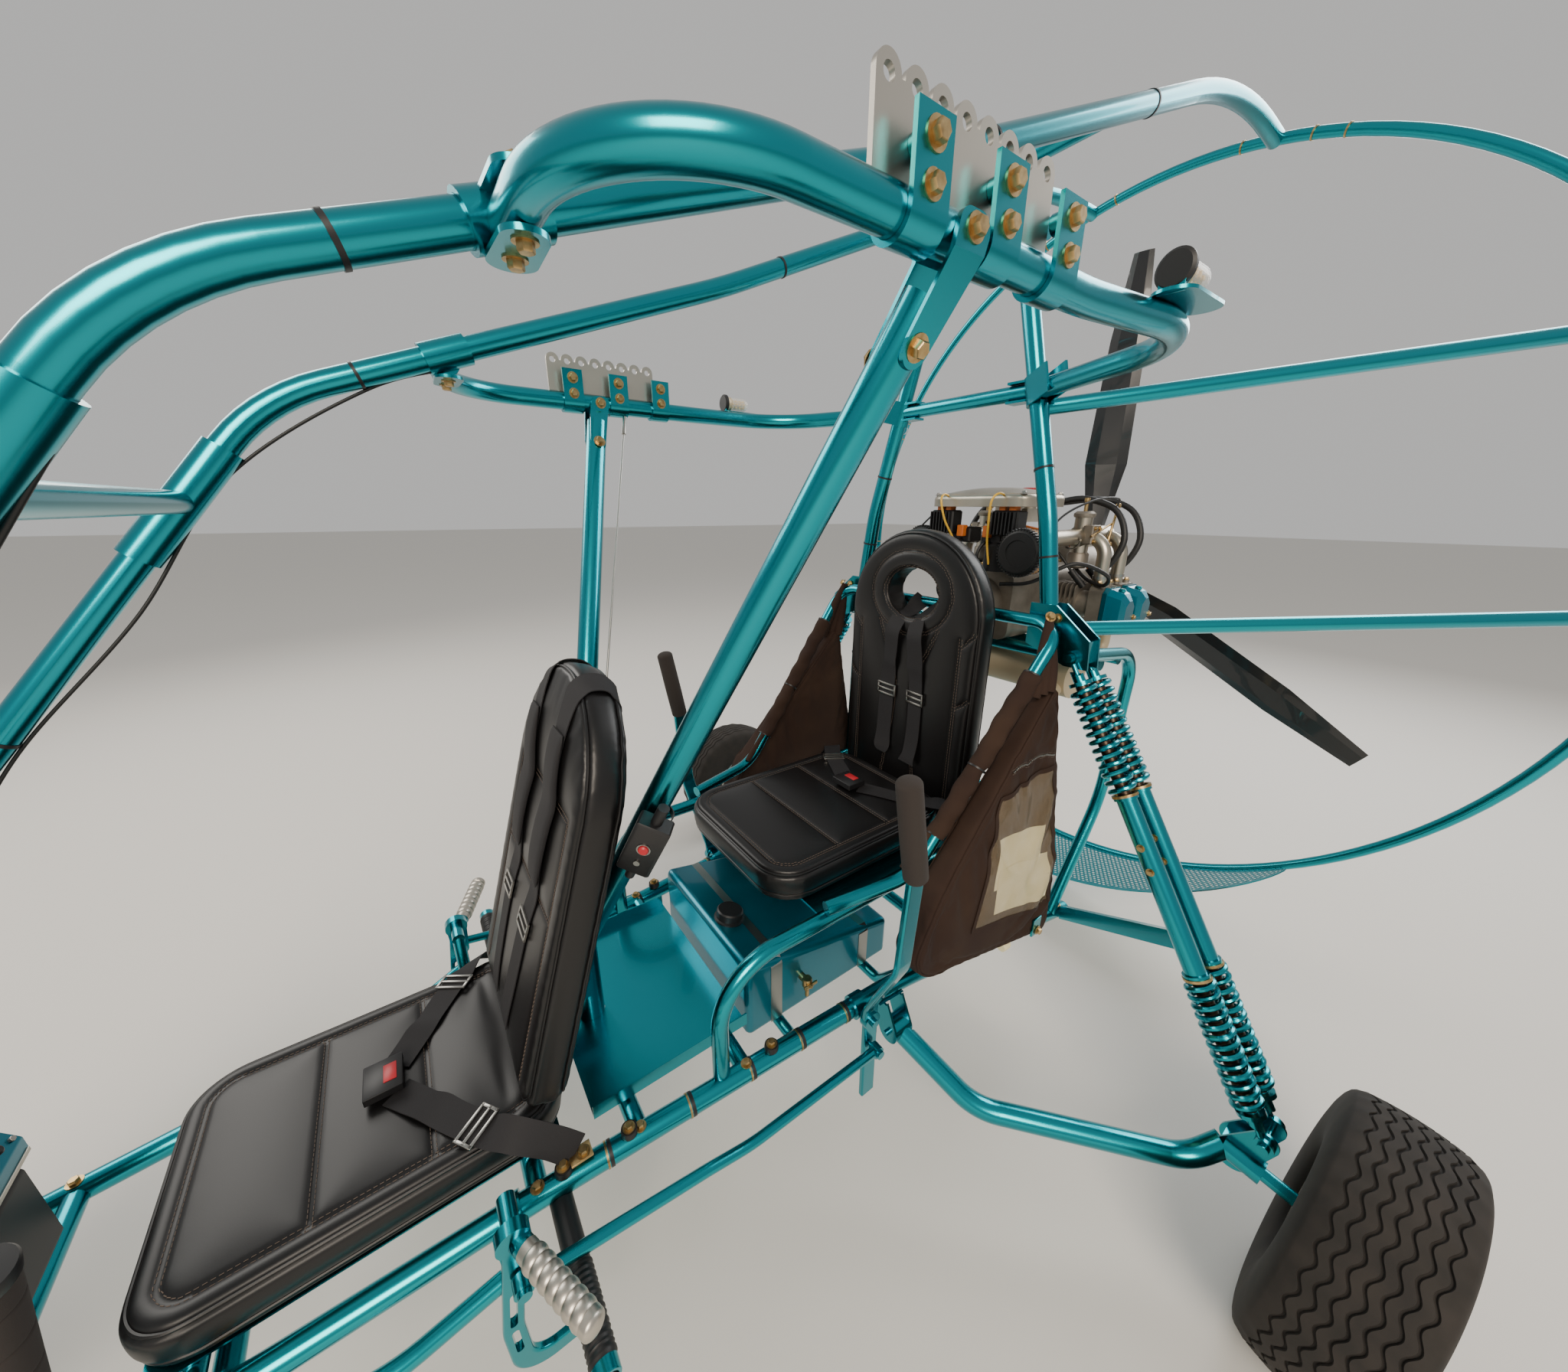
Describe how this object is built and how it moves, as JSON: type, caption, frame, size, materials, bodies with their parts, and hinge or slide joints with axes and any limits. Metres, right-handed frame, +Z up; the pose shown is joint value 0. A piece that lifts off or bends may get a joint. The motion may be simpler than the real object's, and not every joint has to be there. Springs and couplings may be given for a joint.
{
  "type": "powered parachute trike",
  "caption": "Two-seat powered parachute trike parked on its wheels: bent-tube frame, tandem seats, rear engine and pusher propeller in a guard ring.",
  "frame": {"origin": "on the ground under the middle of the whole trike's box", "axes": "-Y is the direction of flight, +X is the pilot's left, +Z is up"},
  "size_m": [2.2312, 3.2613, 2.3527],
  "materials": {
    "teal_paint": "gloss candy metallic",
    "bare_aluminium": "brushed",
    "steel": "satin",
    "cast_alloy": "as cast",
    "tyre_rubber": "matt",
    "seat_leather": "satin",
    "bag_fabric": "matt",
    "black_composite": "satin",
    "black_rubber": "matt"
  },
  "bodies": {
    "frame": {"antenna": "steel", "cargo_bag_left": "bag_fabric", "cargo_bag_right": "bag_fabric", "crankcase": "cast_alloy", "cylinders": "cast_alloy", "diagonals": "teal_paint", "drag_braces": "teal_paint", "engine_frame": "teal_paint", "exhaust": "steel", "floor_plate": "teal_paint", "foot_brackets": "teal_paint", "foot_pegs": "black_rubber", "frame_clamps": "teal_paint", "front_cushion": "seat_leather", "front_seat_back": "seat_leather", "fuel_tank": "teal_paint", "gear_leg_left": "teal_paint", "gear_leg_right": "teal_paint", "guard_mesh": "teal_paint", "guard_ring": "teal_paint", "instrument_pod": "teal_paint", "intake": "cast_alloy", "lower_cross_tubes": "teal_paint", "lower_rails": "teal_paint", "nav_lights": "teal_paint", "nose_pod": "black_composite", "outrigger_left": "teal_paint", "outrigger_right": "teal_paint", "overhead_rail_left": "teal_paint", "overhead_rail_right": "teal_paint", "rear_cushion": "seat_leather", "rear_seat_back": "seat_leather", "riser_plates": "bare_aluminium", "rocker_covers": "teal_paint", "saddle_brackets": "teal_paint", "seat_frames": "teal_paint", "seat_hoop": "teal_paint", "springs": "teal_paint", "standoffs": "teal_paint", "steering_head": "teal_paint", "struts": "teal_paint", "upper_cross_tubes": "teal_paint", "uprights": "teal_paint"},
    "wheel_left": {"tyre_left": "tyre_rubber", "rim_left": "bare_aluminium"},
    "wheel_right": {"tyre_right": "tyre_rubber", "rim_right": "bare_aluminium"},
    "steering_fork": {"fork": "teal_paint"},
    "nose_wheel": {"nose_tyre": "tyre_rubber", "nose_rim": "bare_aluminium"},
    "propeller": {"prop_hub": "bare_aluminium", "prop_blades": "black_composite"},
    "steering_stick": {"steering_stick": "teal_paint"},
    "lever_left": {"lever_left": "teal_paint"},
    "pushrod_left": {"pushrod_left": "teal_paint"},
    "hand_crank_left": {"hand_crank_left": "teal_paint"},
    "lever_right": {"lever_right": "teal_paint"},
    "pushrod_right": {"pushrod_right": "teal_paint"},
    "hand_crank_right": {"hand_crank_right": "teal_paint"}
  },
  "joints": [
    {"name": "wheel_left_spin", "type": "hinge", "parent": "frame", "child": "wheel_left", "pos_m": [1.016, 0.698, 0.2426], "axis": [0.9976, 0, -0.0698], "continuous": true},
    {"name": "wheel_right_spin", "type": "hinge", "parent": "frame", "child": "wheel_right", "pos_m": [-1.016, 0.698, 0.2426], "axis": [0.9976, 0, 0.0698], "continuous": true},
    {"name": "nose_steer", "type": "hinge", "parent": "frame", "child": "steering_fork", "pos_m": [0, -1.4507, 0.5], "axis": [0, 0, 1], "range_deg": [-25, 25]},
    {"name": "nose_wheel_spin", "type": "hinge", "parent": "steering_fork", "child": "nose_wheel", "pos_m": [0, -1.4307, 0.2], "axis": [1, 0, 0], "continuous": true},
    {"name": "propeller_spin", "type": "hinge", "parent": "frame", "child": "propeller", "pos_m": [0, 1.52, 1.248], "axis": [0, 1, 0], "continuous": true},
    {"name": "steering_stick_tilt", "type": "hinge", "parent": "frame", "child": "steering_stick", "pos_m": [0.312, -0.85, 0.392], "axis": [1, 0, 0], "range_deg": [-15, 15]},
    {"name": "lever_left_tilt", "type": "hinge", "parent": "frame", "child": "lever_left", "pos_m": [0.34, 0.222, 0.42], "axis": [1, 0, 0], "range_deg": [-12, 12]},
    {"name": "hand_crank_left_tilt", "type": "hinge", "parent": "frame", "child": "hand_crank_left", "pos_m": [0.34, -0.44, 0.5], "axis": [1, 0, 0], "range_deg": [-12, 12]},
    {"name": "pushrod_left_tilt", "type": "hinge", "parent": "lever_left", "child": "pushrod_left", "pos_m": [0.362, 0.222, 0.355], "axis": [1, 0, 0], "range_deg": [-12, 12]},
    {"name": "lever_right_tilt", "type": "hinge", "parent": "frame", "child": "lever_right", "pos_m": [-0.34, 0.222, 0.42], "axis": [1, 0, 0], "range_deg": [-12, 12]},
    {"name": "hand_crank_right_tilt", "type": "hinge", "parent": "frame", "child": "hand_crank_right", "pos_m": [-0.34, -0.44, 0.5], "axis": [1, 0, 0], "range_deg": [-12, 12]},
    {"name": "pushrod_right_tilt", "type": "hinge", "parent": "lever_right", "child": "pushrod_right", "pos_m": [-0.362, 0.222, 0.355], "axis": [1, 0, 0], "range_deg": [-12, 12]}
  ],
  "couplings": [
    {"joint": "steering_stick_tilt", "follows": "nose_steer", "ratio": 0.6},
    {"joint": "hand_crank_left_tilt", "follows": "lever_left_tilt", "ratio": 1},
    {"joint": "pushrod_left_tilt", "follows": "lever_left_tilt", "ratio": -1},
    {"joint": "hand_crank_right_tilt", "follows": "lever_right_tilt", "ratio": 1},
    {"joint": "pushrod_right_tilt", "follows": "lever_right_tilt", "ratio": -1}
  ]
}
